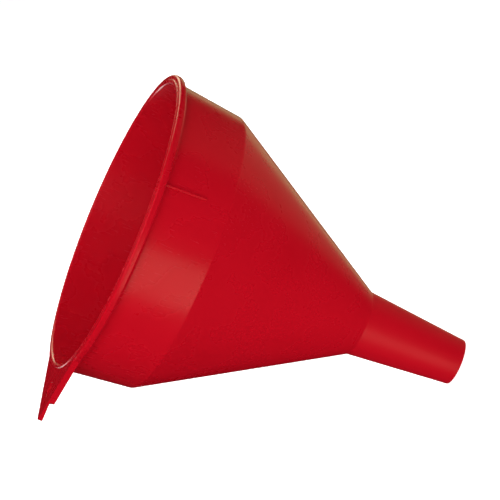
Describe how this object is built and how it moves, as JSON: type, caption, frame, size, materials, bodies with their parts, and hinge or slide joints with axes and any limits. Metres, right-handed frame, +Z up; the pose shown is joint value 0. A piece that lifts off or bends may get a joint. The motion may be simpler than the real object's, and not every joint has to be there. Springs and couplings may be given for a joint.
{
  "type": "funnel",
  "caption": "Moulded plastic funnel with a flanged mouth, hanging tab, sixty degree cone, tapered spout and lift-out gauze strainer.",
  "frame": {"origin": "centre of the spout's end, which goes into the filler neck that holds the funnel", "axes": "+Z up along the funnel's axis from the spout to the mouth, -X towards the hanging tab, -Y towards the side that the picture shows"},
  "size_m": [0.1838, 0.1596, 0.19],
  "materials": {
    "red_plastic": "satin gloss, moulded polyethylene",
    "black_plastic": "fine moulded grain, polypropylene",
    "gauze_wire": "plain woven stainless wire"
  },
  "bodies": {
    "funnel": {"funnel_body": "red_plastic"},
    "strainer": {"strainer_frame": "black_plastic", "strainer_gauze": "gauze_wire", "strainer_ring": "black_plastic"}
  },
  "joints": [
    {"name": "strainer_lift", "type": "slide", "parent": "funnel", "child": "strainer", "axis": [0, 0, 1], "range_m": [0, 0.14]}
  ]
}
